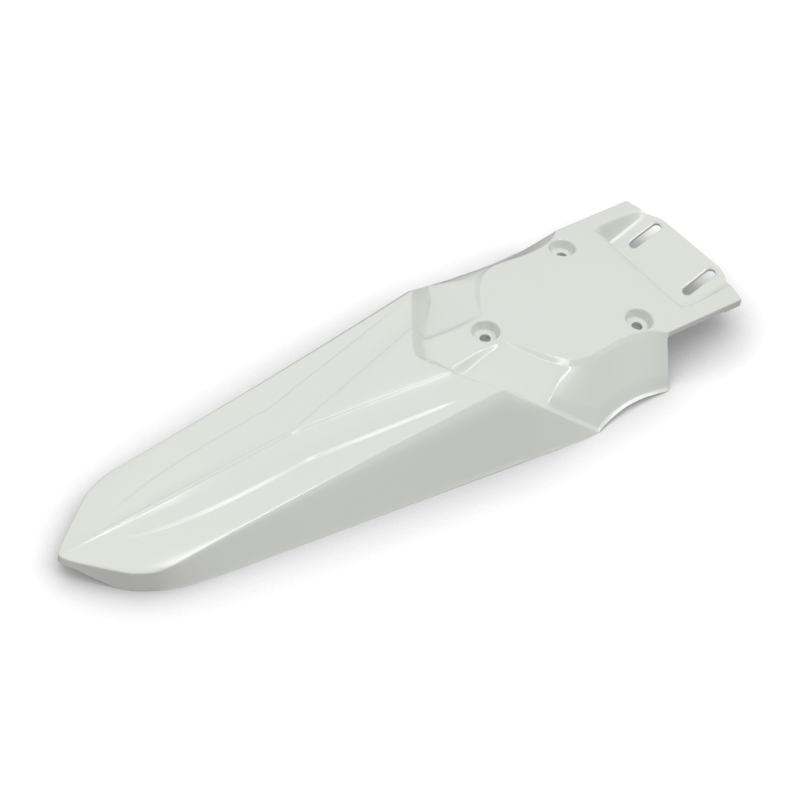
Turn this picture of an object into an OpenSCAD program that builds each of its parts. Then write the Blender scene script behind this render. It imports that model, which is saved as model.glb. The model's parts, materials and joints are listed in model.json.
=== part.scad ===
// Rear fender of a small off-road motorcycle, moulded in one piece.
// X runs towards the seat, Y to the left, Z up. The fender lies on its lower rim at Z = 0.
// Inside this file every length along X is first measured from the rear screw hole.

/* [Overall] */
// Distance from the rear screw hole back to the tip of the tail
tail_reach = 270; // [240:1:330]
// Distance from the rear screw hole forward to the front edge of the slotted tongue
front_reach = 164; // [160:1:185]
// Thickness of the moulded wall
wall = 2.6; // [2:0.1:3.5]

/* [Deck under the seat] */
// Height of the deck above the rim at the rear screw hole
deck_h = 35; // [32:0.5:42]
// How far the deck falls from the rear hole to the front corners
deck_fall = 5; // [0:0.5:8]
// Radius of the deck's crown across its width
deck_crown_r = 470; // [300:10:2000]
// Width of the spine that carries the rear screw hole
neck_w = 21; // [18:0.5:28]
// Width of the deck behind the front screw holes
deck_w = 89; // [84:1:100]
// Width of the flange in front of the wings
flange_w = 110; // [104:1:120]
// Depth of the turned-down lip along the flange
flange_lip = 4; // [2:0.5:7]

/* [Screw cups] */
// Distance from the rear screw hole to the front pair
hole_pitch = 87.5; // [80:0.5:95]
// Distance between the two front screw holes
hole_spacing = 75; // [66:0.5:78]
// Diameter of the screw holes
hole_d = 6.5; // [4:0.5:8]
// Diameter of the recess round each screw head
cup_d = 17; // [13:0.5:18]
// Depth of the recess round each screw head
cup_depth = 6.5; // [4:0.5:9]

/* [Slotted tongue] */
// Distance from the rear screw hole to the fold at the back of the tongue
fold_x = 116.5; // [112:0.5:120]
// Height of the valley between the fold and the tongue above the rim
valley_h = 13; // [9:0.5:18]
// Height of the tongue's front edge above the rim
tongue_h = 27; // [22:0.5:32]
// Width of the tongue
tongue_w = 79; // [74:1:84]
// Distance between the two slots
slot_spacing = 51.5; // [40:0.5:60]
// Length of each slot
slot_len = 23.5; // [14:0.5:26]
// Width of each slot
slot_w = 6.5; // [5:0.5:9]
// Material left between the slots and the front edge
slot_margin = 3.6; // [3:0.1:6]

/* [Blade] */
// Width of the blade at the tail corners, across its top edges
tail_w = 73; // [60:1:84]
// Width of the blade at its front edge
blade_w = 92; // [86:1:100]
// Height of the blade's top edges above the rim at the tail corners
tail_h = 13; // [9:0.5:18]
// Height of the tail's tip above the rim
tip_h = 14.7; // [11:0.5:20]
// Depth of the lip at the tip of the tail
tip_lip = 5; // [4:0.5:8]
// Height of the blade's front edge above the rim
step_h = 41; // [39:0.5:48]
// Distance from the point of the front edge to the end of the triangular facet
facet_len = 83; // [60:1:110]
// Height of the centre ridge where the triangular facet ends
split_h = 25.8; // [23:0.2:29]
// Width of the triangular facet at the front edge of the blade
facet_w = 40; // [30:1:50]
// Depth of the two long grooves beside the facet
groove_depth = 2; // [0.5:0.1:3]
// How far the slanted shoulder under the blade's edges reaches out at the front
shoulder_out = 4.6; // [1:0.1:6]

/* [Wings] */
// Width across the wings at their widest corners
wing_w = 153; // [140:1:166]
// Distance of the widest corners in front of the rear screw hole
wing_x = 30; // [24:1:38]
// Rise of the arch in the wing's lower edge
wing_arch = 3.4; // [0:0.2:6]
// Width across the wings at the bottom of their front edge
wing_front_w = 147; // [138:1:158]

/* [Hidden] */

function mix(a, b, t) = a + (b - a) * t;
function limit(t) = max(0, min(1, t));
function ramp(x, a, b) = limit((x - a) / (b - a));
function soft_v(y, r) = sqrt(y * y + r * r) - r;

// Places along the fender, measured from the rear screw hole
tip_x = -tail_reach;
step_apex_x = -49.7;
step_side_x = -22;
ramp_apex_x = -42.6;
split_x = step_apex_x - facet_len;
flange_x = 96;
corner_x = 156;
wing_front_x = 87.3;
crease_x = 0.7;
valley_len = 9.6;
valley_x = fold_x + valley_len;
tongue_slope = atan((tongue_h - valley_h) / (front_reach - valley_x));

// The origin is midway between the tail's lip and the lower front edge of the tongue
tip_draft = 1.2;
corner_draft = 2.2;
origin_x = (front_reach + wall * sin(tongue_slope) + tip_x - tip_draft) / 2;

// Blade. The tail's edge and the front step are both soft V shapes seen from above.
tip_r = 3;
apex_r = 5;
tail_round = 1.7;
tail_round_len = 11;
tail_bend = 8;
tail_bend_rise = 0.6;
tail_corner_y = tail_w / 2 - tail_round;

// The tail's edge in plan bends forward near its corners
function tail_v(y) =
    let (bend = max(0, y - tail_corner_y + tail_bend))
    soft_v(y, tip_r) + tail_bend_rise * bend * bend / tail_bend;
tail_corner_x = tip_x + tail_v(tail_corner_y);

function step_edge_x(y) =
    step_apex_x + (step_side_x - step_apex_x) * soft_v(y, apex_r) / soft_v(blade_w / 2, apex_r);

// Half width between the blade's top edges, flaring forward and rounded at the tail corners
edge_flare = 1.7;
edge_step_z = step_h - 0.5;
function edge_y(x) =
    let (t = ramp(x, tail_corner_x, step_side_x))
    let (near = 1 - ramp(x, tail_corner_x, tail_corner_x + tail_round_len))
    mix(tail_w / 2, blade_w / 2, pow(t, edge_flare)) - tail_round * near * near;
function edge_z(x) = mix(tail_h, edge_step_z, (x - tail_corner_x) / (step_side_x - tail_corner_x));

// The centre ridge rises gently to the split and then as the triangular facet
ridge_step_z = step_h + 0.4;
facet_fall = 0.12;
function ridge_z(x) =
    x < split_x
        ? mix(tip_h, split_h, (x - tip_x) / (split_x - tip_x))
        : mix(split_h, ridge_step_z, (x - split_x) / (step_apex_x - split_x));
function facet_y(x) = max(0, facet_w / 2 * (x - split_x) / (step_edge_x(facet_w / 2) - split_x));

// Half width to the crest outside each groove: it spreads quickly at the tail, then runs straight
crest_tail_y = 21.5;
crest_front_y = blade_w * 0.45;
crest_len = 35;
crest_start_x = tip_x + 15;
crest_hold_x = tip_x + 25;
function crest_y(x) =
    crest_tail_y * (1 - exp((crest_start_x - max(x, crest_hold_x)) / crest_len))
    + (crest_front_y - crest_tail_y) * ramp(x, split_x, step_side_x);

// Half width to the bottom of each groove, a hyperbola that turns beside the facet
groove_tail_y = 5.8;
groove_flare = 0.2;
groove_turn_x = step_apex_x - 102;
groove_turn_r = 25;
groove_start_x = tip_x + 15;
groove_full_x = tip_x + 60;
function groove_y(x) =
    let (run = x - groove_turn_x)
    let (ahead = (run + sqrt(run * run + groove_turn_r * groove_turn_r)) / 2)
    min(groove_tail_y + groove_flare * ahead, mix(facet_y(x), crest_y(x), 0.6));

// Height of the blade's top between the facet and the edge, before the groove is sunk
function panel_z(x, y) =
    let (a = facet_y(x))
    let (facet_edge_z = ridge_z(x) - facet_fall * a)
    mix(facet_edge_z, edge_z(x), limit((y - a) / (edge_y(x) - a)));
function groove_z(x) = panel_z(x, groove_y(x)) - groove_depth * ramp(x, groove_start_x, groove_full_x);

// Rim of the skirt, nearly straight from the tail corner to the widest corner of the wing
rim_spread = 5.6;
rim_close = 4.5;
function rim_y(x) =
    let (t = (x - tail_corner_x) / (wing_x - tail_corner_x))
    let (straight = min(wing_w / 2, mix(tail_w / 2 + rim_spread, wing_w / 2 + 1, t)))
    straight - rim_close * exp((tail_corner_x - x) / tail_round_len);

// The shoulder between the top's edge and the skirt slants out and down. It widens forward.
shoulder_drop = 0.85 * shoulder_out;
shoulder_tail = 0.12;
shoulder_full_z = 12;
function shoulder(edge, foot, share) =
    let (size = share * min(1, edge[2] / shoulder_full_z))
    size > 0.02 ? edge + size * [0, shoulder_out, -shoulder_drop] : mix(edge, foot, 0.2);

// Deck height over the plan
spine_slope = 0.012;
function deck_z(x, y) =
    deck_h + spine_slope * min(x, 0) - deck_fall * max(x, 0) / corner_x - y * y / (2 * deck_crown_r);

// Rear facet of the wing, a plane through the spine and the crease
facet_lift = 0.9;
facet_climb = 0.12;
facet_lean = 0.198;
function rear_facet_z(x, y) = deck_h + facet_lift + facet_climb * x - facet_lean * y;

// The lip where the wing meets the skirt is a straight line down to the widest corner
function lip(t) =
    [mix(step_side_x, wing_x, t), mix(blade_w / 2, wing_w / 2, t), mix(edge_step_z, 0, t)];
function lip_t(x) = (x - step_side_x) / (wing_x - step_side_x);

// Lower edge of the wing from its widest corner to its front edge, arched and bowed inwards
wing_bow = 3.7;
function wing_rim(t) =
    [
        mix(wing_x, wing_front_x, t),
        mix(wing_w / 2, wing_front_w / 2, t) - wing_bow * sin(180 * pow(t, 0.85)),
        wing_arch * sin(180 * t)
    ];

// Columns across one half of the fender, from the centre line outwards.
// PANEL, BEND and CORNER lie between the crest and the edge, closer together towards the edge.
DECK_EDGE = 6;
GROOVE = 7;
CREST = 8;
PANEL = 9;
BEND = 10;
CORNER = 11;
EDGE = 12;
ROUND = 13;
RIM = 14;
panel_share = [0, 0.35, 0.72, 0.88, 1];

// One blade row. Its foot lies tail_lean behind its edge at the tail.
// The rows bend from the tail's V to the step's V.
tail_lean = 1.5;
function row_x(x0, s, y) = x0 + mix(tail_v(y), step_edge_x(y) - step_apex_x, s);
function solve_x(x0, s, col, n) =
    n == 0 ? row_x(x0, s, tail_w / 2) : row_x(x0, s, rail_y(col, solve_x(x0, s, col, n - 1)));
function rail_y(col, x) =
    col <= DECK_EDGE ? facet_y(x) * deck_share[col]
    : col == GROOVE ? groove_y(x)
    : mix(crest_y(x), edge_y(x), panel_share[col - CREST]);
function top_z(col, x, y) =
    col <= DECK_EDGE ? ridge_z(x) - facet_fall * y
    : col == GROOVE ? groove_z(x)
    : panel_z(x, y);
function rail_point(x0, s, col) =
    let (x = solve_x(x0, s, col, 12))
    let (y = rail_y(col, x))
    [x, y, top_z(col, x, y)];
function skirt_points(edge, rim_x, share) =
    let (foot = [rim_x, rim_y(rim_x), 0])
    [shoulder(edge, foot, share), foot];
function blade_row(s) =
    let (x0 = mix(tip_x, step_apex_x, s))
    let (top = [for (col = [0:EDGE]) rail_point(x0, s, col)])
    concat(top, skirt_points(top[EDGE], top[EDGE][0] - mix(tail_lean, 0, s), mix(shoulder_tail, 1, s)));

// The lip round the tail leans out by a small draft: a rim row, then a row that rounds its top
tail_rows = 2;
tail_edge_r = 1.2;
tip_turn = 45;
corner_turn = 22;
function lip_share(y) = pow(sin(90 * ramp(y, 2, 0.8 * tail_corner_y)), 2);
function tail_row(level) =
    let (top = blade_row(0))
    [
        for (col = [0:RIM])
            let (p = top[min(col, EDGE)])
            let (at_corner = ramp(p[1], tail_corner_y - tail_bend, tail_corner_y))
            let (turn = tip_turn * ramp(p[1], 0, 2 * tip_r) + corner_turn * at_corner)
            let (out = level == 0 ? mix(tip_draft, corner_draft, lip_share(p[1])) : tail_edge_r / 2)
            let (low = level == 0 ? (tip_h - tip_lip) * (1 - lip_share(p[1])) : p[2] - tail_edge_r)
            [p[0] - out * cos(turn), p[1] + out * sin(turn), low]
    ];

// Half width of the deck, waisted to the spine round the rear hole
TONGUE_EDGE = 4;
recess_gap = 2.5;
deck_share =
    [
        0,
        0.27,
        0.5,
        (tongue_w - 11) / flange_w,
        tongue_w / flange_w,
        (tongue_w + 2 * recess_gap) / flange_w,
        1
    ];
flange_taper = 1;
function flange_edge_y(x) = flange_w / 2 - flange_taper * (1 - ramp(x, flange_x, corner_x));

// Front edge in plan: the tongue with rounded corners, then the flange a little further back
notch_x = corner_x + 2;
function front_x(y) =
    y < tongue_w / 2 + 0.1
        ? mix(front_reach, notch_x + 0.5, pow(ramp(y, slot_spacing / 2, tongue_w / 2), 2))
        : mix(notch_x, corner_x, ramp(y, tongue_w / 2 + recess_gap, flange_w / 2));

// The deck's rounded edge ends a little way out towards the wing and lower by drop
edge_band = 3.8;
band_lean = 0.3;
band_drop = 2.8;
function band_point(edge, outer, drop) =
    let (edge_pt = [edge[0], edge[1], deck_z(edge[0], edge[1])])
    let (out = [band_lean * (outer[0] - edge[0]), outer[1] - edge[1], 0])
    edge_pt + out * edge_band / norm(out) - [0, 0, drop];

// A deck row runs from the centre line to the deck's edge, then from side down the wing to outer.
// The wing's front facet is bowed outwards a little.
front_bow = 0.4;
wing_share = [0, 0.25, 0.5, 0.7, 0.85, 1];
function wing_row(centre_x, edge, side, outer, bow) =
    concat(
        [
            for (col = [0:DECK_EDGE])
                let (y = edge[1] * deck_share[col])
                let (x = mix(centre_x, edge[0], pow(deck_share[col], 0.8)))
                [x, y, deck_z(x, y)]
        ],
        [for (t = wing_share) mix(side, outer, t) + 4 * t * (1 - t) * [0, bow, bow]]
    );
function with_skirt(row, rim_x) = concat(row, skirt_points(row[EDGE], rim_x, shoulder_tail));
function with_rim(row) = concat(row, [row[EDGE], row[EDGE]]);

spine_y = neck_w / 2;
wide_y = deck_w / 2;
function facet_point(x, y) = [x, y, rear_facet_z(x, y)];
ramp_outer = lip(lip_t(-0.8));
ramp_side = facet_point(-31, spine_y + 7.5);
ramp_corner = facet_point(-7.5, 45.6);
ramp_spine = [-36.5, spine_y + 3];
ramp_row =
    with_skirt(
        concat(
            [
                for (col = [0:DECK_EDGE])
                    let (y = ramp_spine[1] * deck_share[col])
                    let (x = mix(ramp_apex_x, ramp_spine[0], pow(deck_share[col], 1.5)))
                    [x, y, deck_z(x, y)]
            ],
            [for (t = [0, 0.35, 0.7]) mix(ramp_side, ramp_corner, t)],
            [ramp_corner, (ramp_corner + ramp_outer) / 2, ramp_outer]
        ),
        -0.8
    );

// Rear facet: beside the spine its inner edge lies on the facet's plane
function spine_row(centre_x, edge, side, lip_x) =
    with_skirt(wing_row(centre_x, edge, facet_point(side[0], side[1]), lip(lip_t(lip_x)), 0), lip_x);
function neck_row(edge, lip_x) =
    let (side = band_point(edge, lip(lip_t(lip_x)), 0))
    spine_row(edge[0] - 5, edge, side, lip_x);
function wing_band_row(edge, drop, lip_x, bow) =
    wing_row(edge[0], edge, band_point(edge, lip(lip_t(lip_x)), drop), lip(lip_t(lip_x)), bow);
fan_rows =
    [
        spine_row(-24, [-24, spine_y + 1], [-18, spine_y + 5], -0.5),
        spine_row(-10, [-10, spine_y], [-6, spine_y + 4], -0.2),
        spine_row(1, [4.5, spine_y], [6.5, spine_y + 3.4], 0.1),
        neck_row([13.5, mix(spine_y, wide_y, 0.42)], 0.3),
        neck_row([21.5, mix(spine_y, wide_y, 0.7)], 0.5),
        with_skirt(wing_band_row([31, wide_y - 1.5], 2.2, crease_x, 0), crease_x)
    ];
front_edges =
    [
        [34.5, wide_y - 0.2],
        [38.5, wide_y + 0.7],
        [44, wide_y + 1],
        [51, wide_y + 0.4]
    ];
lip_rows =
    [
        for (k = [0:3])
            let (x = mix(crease_x, wing_x, (k + 1) / 4))
            let (row = wing_band_row(front_edges[k], band_drop, x, front_bow))
            k < 3 ? with_skirt(row, x) : with_rim(row)
    ];
rim_edges =
    [
        [58, wide_y - 0.2],
        [65, wide_y - 0.6],
        [72, wide_y - 0.2],
        [79, wide_y + 0.9],
        [86, wide_y + 3.4],
        [flange_x - 0.3, flange_w / 2 - 1.2]
    ];
rim_rows =
    [
        for (k = [0:5])
            let (edge = rim_edges[k])
            let (outer = wing_rim((k + 1) / 6))
            with_rim(wing_row(edge[0], edge, band_point(edge, outer, band_drop), outer, front_bow))
    ];

// Flange and slotted tongue. The tongue's floor drops from the fold and climbs to the front.
function tongue_z(x, y) =
    x < fold_x ? deck_z(x, y)
    : x < valley_x ? mix(deck_z(fold_x, y), valley_h, ramp(x, fold_x, valley_x))
    : mix(valley_h, tongue_h, (x - valley_x) / (front_reach - valley_x));
flange_start_x = flange_x + 1.5;
corner_tab = 1.5;
corner_tab_len = 14;
flange_draft = 0.4;
function flange_lip_at(x) = x > corner_x - corner_tab_len ? flange_lip + corner_tab : flange_lip;

// Rows of three stretches: up to the fold, down to the valley and out to the front edge
function stretch_x(stretch, t, y) =
    stretch == 0 ? mix(flange_start_x, fold_x, t)
    : stretch == 1 ? mix(fold_x, valley_x, t)
    : mix(valley_x, front_x(y), t);
function flange_row(stretch, t) =
    [
        for (col = [0:RIM])
            let (share = deck_share[min(col, DECK_EDGE)])
            let (x = stretch_x(stretch, t, flange_w / 2 * share))
            let (y = col < DECK_EDGE ? flange_w / 2 * share : flange_edge_y(x))
            col <= TONGUE_EDGE ? [x, y, tongue_z(x, y)]
            : col <= DECK_EDGE ? [x, y, deck_z(x, y)]
            : [x, y + flange_draft, deck_z(x, y) - flange_lip_at(x)]
    ];
flange_rows =
    [
        for (stop = [[0, 0], [0, 0.5], [0, 1], [1, 1], [2, 0.33], [2, 0.6], [2, 0.66], [2, 1]])
            flange_row(stop[0], stop[1])
    ];

back_steps = 13;
facet_steps = 8;
split_s = (split_x - tip_x) / (step_apex_x - tip_x);
blade_ss =
    concat(
        [for (k = [0:back_steps - 1]) split_s * pow(k / back_steps, 1.25)],
        [for (k = [0:facet_steps]) mix(split_s, 1, k / facet_steps)]
    );

// All rows from the tail to the front, half of the fender each
half_rows =
    concat(
        [tail_row(0), tail_row(1)],
        [for (s = blade_ss) blade_row(s)],
        [ramp_row],
        fan_rows,
        lip_rows,
        rim_rows,
        flange_rows
    );
row_count = len(half_rows);
flange_start = row_count - len(flange_rows);

// The full grid holds the right half mirrored, column 0 to 2 * RIM
function at(row, col) =
    let (p = half_rows[row][abs(col - RIM)])
    [p[0], col < RIM ? -p[1] : p[1], p[2]];
col_count = 2 * RIM + 1;
function same(a, b) = norm(a - b) < 0.02;

// Columns that share a point count as one: the one nearest the centre line
function home(row, k) = k > 0 && same(half_rows[row][k], half_rows[row][k - 1]) ? home(row, k - 1) : k;

// The lip round the tail ends at each side in the first skirt points of the blade
function at_tail_corner(row, k) = row < tail_rows && k >= EDGE;
function home_k(row, k) = !at_tail_corner(row, k) ? home(row, k) : row == 0 ? RIM : max(k, ROUND);
function home_row(row, k) = at_tail_corner(row, k) ? tail_rows : row;
function next_col(row, col) =
    col >= col_count - 1 ? col_count - 1
    : same(at(row, col), at(row, col + 1)) ? next_col(row, col + 1) : col + 1;
function prev_col(row, col) =
    col <= 0 ? 0 : same(at(row, col), at(row, col - 1)) ? prev_col(row, col - 1) : col - 1;

// A cell lies between two rows and two columns. In front of the wings only the flange is left.
function filled(row, col) =
    row >= 0 && row < row_count - 1 && col >= 0 && col < col_count - 1
    && (row < flange_start - 1 || (col >= RIM - GROOVE && col < RIM + GROOVE));

// The inner face lies one wall behind the outer one. Rim points keep their height.
function last_row(row, col) = filled(row, col) || filled(row, col - 1) ? row + 1 : row;
function normal_at(row, col) =
    let (c0 = prev_col(row, col))
    let (c1 = next_col(row, col))
    let (limit0 = row >= flange_start ? max(c0, RIM - GROOVE) : c0)
    let (limit1 = row >= flange_start ? min(c1, RIM + GROOVE) : c1)
    let (along = at(last_row(row, col), col) - at(max(0, row - 1), col))
    let (across = at(row, limit1) - at(row, limit0))
    let (n = cross(along, across))
    n / norm(n);
function is_rim(row, col) =
    let (k = home(row, abs(col - RIM)))
    row == 0 || k == RIM || (k == EDGE && same(half_rows[row][EDGE], half_rows[row][RIM]));
function inner_at(row, col) =
    let (n = normal_at(row, col))
    let (flat = [n[0], n[1], 0])
    at(row, col) - wall * (is_rim(row, col) ? flat / norm(flat) * min(1.3, 1 / norm(flat)) : n);

function index(row, col, layer) =
    let (k = abs(col - RIM))
    let (home_side = col < RIM ? -home_k(row, k) : home_k(row, k))
    (layer * row_count + home_row(row, k)) * col_count + RIM + home_side;
shell_points =
    concat(
        [for (row = [0:row_count - 1]) for (col = [0:col_count - 1]) at(row, col)],
        [for (row = [0:row_count - 1]) for (col = [0:col_count - 1]) inner_at(row, col)]
    );

// A quad as two triangles, without those that have shrunk to a line
function keep(t) = t[0] != t[1] && t[1] != t[2] && t[0] != t[2];
function quad(a, b, c, d) = [for (t = [[a, b, c], [a, c, d]]) if (keep(t)) t];
function cell_faces(row, col) =
    concat(
        quad(index(row, col, 0), index(row, col + 1, 0), index(row + 1, col + 1, 0), index(row + 1, col, 0)),
        quad(index(row, col, 1), index(row + 1, col, 1), index(row + 1, col + 1, 1), index(row, col + 1, 1)),
        filled(row - 1, col) ? [] :
            quad(index(row, col, 0), index(row, col, 1), index(row, col + 1, 1), index(row, col + 1, 0)),
        filled(row + 1, col) ? [] :
            quad(
                index(row + 1, col + 1, 0),
                index(row + 1, col + 1, 1),
                index(row + 1, col, 1),
                index(row + 1, col, 0)
            ),
        filled(row, col - 1) ? [] :
            quad(index(row + 1, col, 0), index(row + 1, col, 1), index(row, col, 1), index(row, col, 0)),
        filled(row, col + 1) ? [] :
            quad(
                index(row, col + 1, 0),
                index(row, col + 1, 1),
                index(row + 1, col + 1, 1),
                index(row + 1, col + 1, 0)
            )
    );
shell_faces =
    [
        for (row = [0:row_count - 2])
            for (col = [0:col_count - 2])
                if (filled(row, col))
                    each cell_faces(row, col)
    ];

// The moulded sheet without its cups and slots
module sheet() {
    polyhedron(points = shell_points, faces = shell_faces, convexity = 10);
}

// The space below the middle of the sheet. What hangs under the deck is kept inside it.
under_points =
    concat(
        [for (row = [0:row_count - 1]) for (col = [0:col_count - 1]) (at(row, col) + inner_at(row, col)) / 2],
        [for (row = [0:row_count - 1]) for (col = [0:col_count - 1]) [at(row, col)[0], at(row, col)[1], -10]]
    );
module under_skin() {
    polyhedron(points = under_points, faces = shell_faces, convexity = 10);
}

// Places of the three screw holes
hole_places = [[0, 0], [hole_pitch, hole_spacing / 2], [hole_pitch, -hole_spacing / 2]];
function floor_z(p) = deck_z(p[0], p[1]) - cup_depth;

// Outside of one screw cup, hanging under the deck
module cup_body(p) {
    translate([p[0], p[1], floor_z(p) - wall])
        cylinder(d = cup_d + 2 * wall, h = cup_depth + wall, $fn = 48);
}

// Recess and screw hole of one cup
module cup_cut(p) {
    translate([p[0], p[1], floor_z(p)])
        cylinder(d = cup_d, h = cup_depth + 10, $fn = 48);
    translate([p[0], p[1], floor_z(p) - wall - 1])
        cylinder(d = hole_d, h = wall + 2, $fn = 48);
}

// One slot, cut straight down through the tongue
module slot_cut(side) {
    run = slot_len - slot_w;
    front = front_reach - slot_margin - slot_w / 2;
    translate([front - run, side * slot_spacing / 2, 0]) {
        translate([0, -slot_w / 2, 0])
            cube([run, slot_w, deck_h]);
        for (x = [0, run])
            translate([x, 0, 0])
                cylinder(d = slot_w, h = deck_h, $fn = 48);
    }
}

module fender() {
    color("whitesmoke")
        translate([-origin_x, 0, 0])
            difference() {
                union() {
                    sheet();
                    intersection() {
                        under_skin();
                        for (p = hole_places)
                            cup_body(p);
                    }
                }
                for (p = hole_places)
                    cup_cut(p);
                for (side = [-1, 1])
                    slot_cut(side);
            }
}

fender();
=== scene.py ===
"""A moulded motorcycle rear fender, its gloss plastic and a plain studio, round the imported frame."""

import json
import math

import bpy
import numpy as np
from mathutils import Euler, Matrix, Vector


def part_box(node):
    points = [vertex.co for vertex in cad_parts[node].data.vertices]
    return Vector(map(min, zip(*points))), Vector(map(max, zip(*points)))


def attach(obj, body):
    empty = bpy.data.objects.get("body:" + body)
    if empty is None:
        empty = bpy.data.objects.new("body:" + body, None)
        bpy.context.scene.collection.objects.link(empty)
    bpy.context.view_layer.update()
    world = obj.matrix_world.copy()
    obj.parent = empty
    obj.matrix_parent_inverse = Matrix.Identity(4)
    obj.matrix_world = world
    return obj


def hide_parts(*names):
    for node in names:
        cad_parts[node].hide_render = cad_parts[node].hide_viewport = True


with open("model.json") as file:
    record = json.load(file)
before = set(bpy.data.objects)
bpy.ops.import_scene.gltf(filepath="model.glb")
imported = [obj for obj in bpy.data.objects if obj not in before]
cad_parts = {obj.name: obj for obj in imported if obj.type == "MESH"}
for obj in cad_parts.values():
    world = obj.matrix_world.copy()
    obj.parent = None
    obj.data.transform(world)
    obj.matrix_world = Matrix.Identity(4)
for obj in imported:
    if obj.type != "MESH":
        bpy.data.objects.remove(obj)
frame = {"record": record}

bl_info = {
    "name": "Moulded Rear Fender",
    "version": (1, 0, 0),
    "blender": (4, 5, 0),
    "location": "3D View > Sidebar > Fender",
    "description": "Builds a creased, glossy rear fender over its frame, with a plain studio",
    "category": "Object",
}

MM = 0.001

# Where the frame holds the fender: every shape below is worked out in millimetres,
# with x measured forward from the rear screw hole and z up from the lower rim
CAD_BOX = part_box("fender")
MOUNTS = {m["name"]: m for m in frame["record"]["mounts"]}
ORIGIN_X = MOUNTS["rear_hole"]["pos_m"][0] / MM
HOLE_R = MOUNTS["rear_hole"]["dims"]["r_mm"]
HOLE_PITCH = MOUNTS["front_holes"]["pos_m"][0] / MM - ORIGIN_X
HOLE_SPACING = MOUNTS["front_holes"]["dims"]["spacing_y_mm"]
APEX_RISE = 0.4
WIDTH_CLEARANCE = 0.12
STEP_H = CAD_BOX[1][2] / MM - APEX_RISE
WING_HALF = CAD_BOX[1][1] / MM - WIDTH_CLEARANCE

# Deck, flange and tongue
DECK_H = 35.0
DECK_FALL = 5.0
SPINE_SLOPE = 0.012
DECK_CROWN_R = 470.0
SPINE_HALF = 10.3
FLANGE_HALF = 55.0
FLANGE_X = 96.0
FLANGE_LIP = 4.0
CORNER_TAB = 1.5
CORNER_TAB_LEN = 14.0
CORNER_X = 156.0
NOTCH_X = 158.0
FOLD_X = 116.5
VALLEY_X = 126.1
VALLEY_H = 13.0
TONGUE_H = 27.0
TONGUE_HALF = 39.5
RECESS_HALF = 43.2
FRONT_X = 164.0
FRONT_STRAIGHT_HALF = 25.75
SLOT_INSET = 3.6

# Blade, from the tip of the tail to the step
TIP_X = -270.0
TIP_H = 14.7
TIP_LIP = 5.0
TIP_R = 3.0
TIP_DRAFT = 1.15
TIP_TURN = 45
CORNER_DRAFT = 2.2
CORNER_TURN = 22
TAIL_HALF = 36.5
TAIL_H = 13.0
TAIL_ROUND = 1.7
TAIL_ROUND_LEN = 11.0
TAIL_BEND = 8.0
TAIL_SWEEP = 0.6
CREST_HALF = 21.5
CREST_START = 15.0
CREST_LEAST = 10.0
CREST_RUN = 35.0
CREST_SHARE = 0.9
VALLEY_HALF = 5.8
SHOULDER_OUT = 4.6
SHOULDER_DROP = 3.9
APEX_R = 5.0
STEP_APEX_X = -49.7
STEP_SIDE_X = -22.0
BLADE_HALF = 46.0
BLADE_FLARE = 1.7
EDGE_DROP = 0.5
SPLIT_X = STEP_APEX_X - 83.0
SPLIT_H = 25.8
FACET_HALF = 20.0
FACET_CROWN = 0.12
RIDGE_HALF = 0.8
GROOVE_DEPTH = 1.6
GROOVE_BEND_X = STEP_APEX_X - 102
GROOVE_BEND_R = 25.0
GROOVE_SLOPE = 0.2
LEDGE_OUT = 0.75
LEDGE_DROP = 0.6
TERRACE_OUT = 1.6
TERRACE_DROP = 1.1

# Stretches of the blade over which its small forms grow or fade
LEDGE_GROWS = (TIP_X + 8, TIP_X + 45)
GROOVE_GROWS = (TIP_X + 15, TIP_X + 60)
TERRACE_GROWS = (TIP_X + 30, TIP_X + 70)
TERRACE_FADES = (STEP_APEX_X - 20, STEP_APEX_X + 20)

# Skirts
RIM_OUT = 5.6
RIM_CLOSING = 4.5
RIM_CLOSING_LEN = 11.0

# Wings
CREASE_X = 0.7
WING_X = 30.0
WING_FRONT_X = 87.3
WING_FRONT_HALF = 73.5
WING_ARCH = 3.4
WING_WAIST = 3.7
FACET_LEVEL = 35.9
FACET_RISE = 0.12
FACET_FALL = 0.198
BEAD_WIDTH = 2.4
BEAD_DEPTH = 0.9
BEAD_START = 0.4

# Where the wings' rows cross the centre line, and where their outer ends pass the lip
RAMP_X, NECK_X, CREASE_ROW_X, CORNER_ROW_X = -42.6, -2.0, 25.0, 50.0
RAMP_LIP_X, NECK_LIP_X = 0.0, 0.25

# Rails of the surface, counted from the centre line outwards
INNER, MIDDLE, TONGUE_EDGE, RECESS_EDGE, DECK_EDGE, LEDGE = range(1, 7)
GROOVE, CREST, BEAD, EDGE, SHOULDER, RIM = range(7, 13)
SHARES = np.array([0.0, 0.27, 0.5, (TONGUE_HALF - 0.9) / FLANGE_HALF, RECESS_HALF / FLANGE_HALF, 1.0])

# Steps between the rails, and steps along each stretch of the fender
COLUMN_STEPS = (8, 6, 6, 6, 8, 4, 6, 10, 6, 10, 6, 10)
BLADE_STEPS, RAMP_STEPS, SPINE_STEPS, NECK_STEPS, FACET_STEPS = 96, 10, 14, 24, 16
ARCH_STEPS, FLANGE_STEPS, FOLD_STEPS, TONGUE_STEPS = 26, 8, 12, 24

# How far the inner face is softened, and the rounding of the free edges as a share of the wall
CORE_SPREAD = 3.2
TONGUE_CORE_SPREAD = 1.8
EDGE_ROUND = 0.22


def mix(a, b, t):
    """Straight blend from a to b."""
    return a + (b - a) * t


def ramp(x, a, b):
    """0 up to a, 1 from b on, straight between."""
    return np.clip((x - a) / (b - a), 0.0, 1.0)


def unit(ways):
    """The same directions with length one."""
    return ways / np.linalg.norm(ways, axis=1)[:, None]


def soft_v(y, r):
    """A V whose point is a hyperbola of radius r."""
    return np.sqrt(y * y + r * r) - r


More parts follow.
